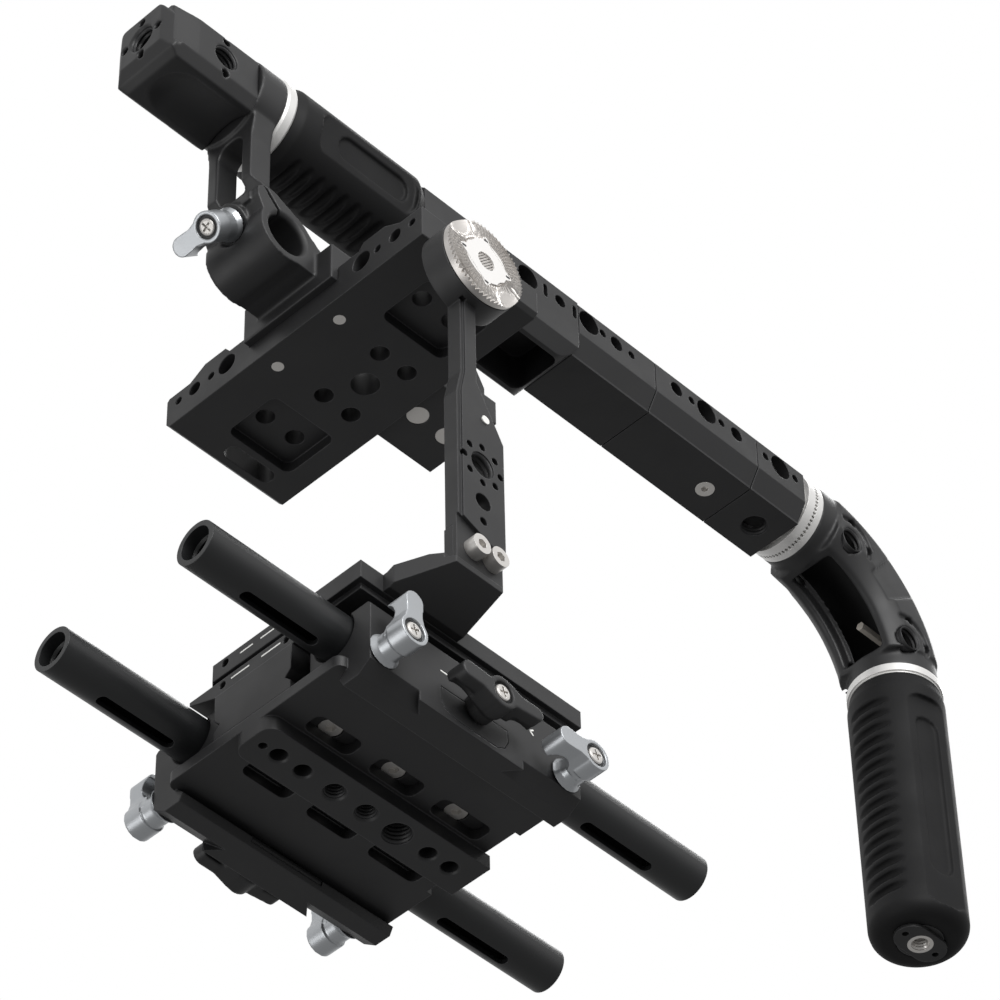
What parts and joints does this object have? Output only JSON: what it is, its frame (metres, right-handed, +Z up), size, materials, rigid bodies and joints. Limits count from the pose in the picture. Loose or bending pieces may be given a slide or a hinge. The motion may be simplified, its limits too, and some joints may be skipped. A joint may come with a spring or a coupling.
{
  "type": "camera base rig",
  "caption": "Rod-mounted camera base rig with sliding dovetail plate, side arm with rosette, top handle with rod post, and a swivelling rear hand grip.",
  "frame": {"origin": "centre of the 3/8 tripod hole on the bottom face", "axes": "+X to the operator's left, +Y to the rear along the rods, +Z up"},
  "size_m": [0.1285, 0.377, 0.286],
  "materials": {
    "anodised_black": "matte black anodised",
    "cover_black": "matte black anodised",
    "wing_black": "matte black anodised",
    "rubber_grip": "matte moulded rubber",
    "rod_black": "satin black anodised",
    "lever_silver": "satin anodised",
    "ring_bright": "bright machined",
    "steel": "plain steel",
    "key_steel": "grey-brown steel",
    "rosette_steel": "bright stainless",
    "pin_white": "white"
  },
  "bodies": {
    "base": {"base": "anodised_black", "cover_l": "cover_black", "cover_r": "cover_black"},
    "rod_l": {"rod_l": "rod_black"},
    "rod_r": {"rod_r": "rod_black"},
    "jaw_l": {"jaw_l": "anodised_black"},
    "jaw_r": {"jaw_r": "anodised_black"},
    "wing_l": {"wing_l": "wing_black", "wing_stud_l": "steel"},
    "wing_r": {"wing_r": "wing_black", "wing_stud_r": "steel"},
    "lever_fl": {"lever_fl": "lever_silver", "stud_fl": "steel"},
    "lever_fr": {"lever_fr": "lever_silver", "stud_fr": "steel"},
    "lever_rl": {"lever_rl": "lever_silver", "stud_rl": "steel"},
    "lever_rr": {"lever_rr": "lever_silver", "stud_rr": "steel"},
    "cage": {"keel": "anodised_black", "block_screws": "steel", "dovetail_plate": "anodised_black", "cage_plate": "anodised_black", "camera_screws": "steel", "side_bracket": "anodised_black", "foot_screws": "steel", "side_arm": "anodised_black", "arm_screws": "steel", "arm_pin": "pin_white", "rosette": "rosette_steel", "rosette_insert": "steel", "top_plate": "anodised_black", "post": "anodised_black", "post_screws": "steel", "handle_block": "anodised_black", "handle_ring": "ring_bright", "handle_core": "anodised_black", "top_grip": "rubber_grip", "handle_body": "anodised_black", "leg_screws": "steel", "beam_1": "anodised_black", "beam_2": "anodised_black", "beam_3": "anodised_black", "beam_tie": "steel", "beam_screw": "steel", "swivel_fixed": "ring_bright", "swivel_pin": "steel"},
    "lever_post": {"lever_post": "lever_silver", "stud_post": "steel"},
    "grip_arm": {"swivel_turn": "ring_bright", "elbow": "anodised_black", "hex_key": "key_steel", "lower_ring": "ring_bright", "grip_core": "anodised_black", "rear_grip": "rubber_grip", "end_plate": "anodised_black", "end_insert": "steel"}
  },
  "joints": [
    {"name": "cage_slide", "type": "slide", "parent": "base", "child": "cage", "axis": [0, 1, 0], "range_m": [-0.02, 0.02]},
    {"name": "rod_l_slide", "type": "slide", "parent": "base", "child": "rod_l", "axis": [0, 1, 0], "range_m": [-0.04, 0.04]},
    {"name": "rod_r_slide", "type": "slide", "parent": "base", "child": "rod_r", "axis": [0, 1, 0], "range_m": [-0.04, 0.04]},
    {"name": "wing_l_turn", "type": "hinge", "parent": "base", "child": "wing_l", "pos_m": [0.045, -0.0127, 0.0104], "axis": [-1, 0, 0], "range_deg": [0, 24]},
    {"name": "wing_r_turn", "type": "hinge", "parent": "base", "child": "wing_r", "pos_m": [-0.045, -0.0127, 0.0104], "axis": [-1, 0, 0], "range_deg": [0, 24]},
    {"name": "jaw_l_slide", "type": "slide", "parent": "base", "child": "jaw_l", "axis": [1, 0, 0], "range_m": [0, 0.00085]},
    {"name": "jaw_r_slide", "type": "slide", "parent": "base", "child": "jaw_r", "axis": [1, 0, 0], "range_m": [0, 0.00085]},
    {"name": "lever_fl_turn", "type": "hinge", "parent": "base", "child": "lever_fl", "pos_m": [0.045, -0.05, 0.0087], "axis": [1, 0, 0], "range_deg": [-60, 60]},
    {"name": "lever_fr_turn", "type": "hinge", "parent": "base", "child": "lever_fr", "pos_m": [-0.045, -0.05, 0.0087], "axis": [1, 0, 0], "range_deg": [-60, 60]},
    {"name": "lever_rl_turn", "type": "hinge", "parent": "base", "child": "lever_rl", "pos_m": [0.045, 0.024, 0.0087], "axis": [1, 0, 0], "range_deg": [-90, 0]},
    {"name": "lever_rr_turn", "type": "hinge", "parent": "base", "child": "lever_rr", "pos_m": [-0.045, 0.024, 0.0087], "axis": [1, 0, 0], "range_deg": [-60, 60]},
    {"name": "lever_post_turn", "type": "hinge", "parent": "cage", "child": "lever_post", "pos_m": [0, -0.0742, 0.2104], "axis": [0, -0.7331, -0.6801], "range_deg": [-70, 25]},
    {"name": "grip_swivel", "type": "hinge", "parent": "cage", "child": "grip_arm", "pos_m": [0, 0.1915, 0.2685], "axis": [0, 1, 0], "range_deg": [-120, 120]}
  ],
  "couplings": [
    {"joint": "jaw_l_slide", "follows": "wing_l_turn", "m_per_rad": 0.0019099},
    {"joint": "jaw_r_slide", "follows": "wing_r_turn", "m_per_rad": 0.0019099}
  ]
}
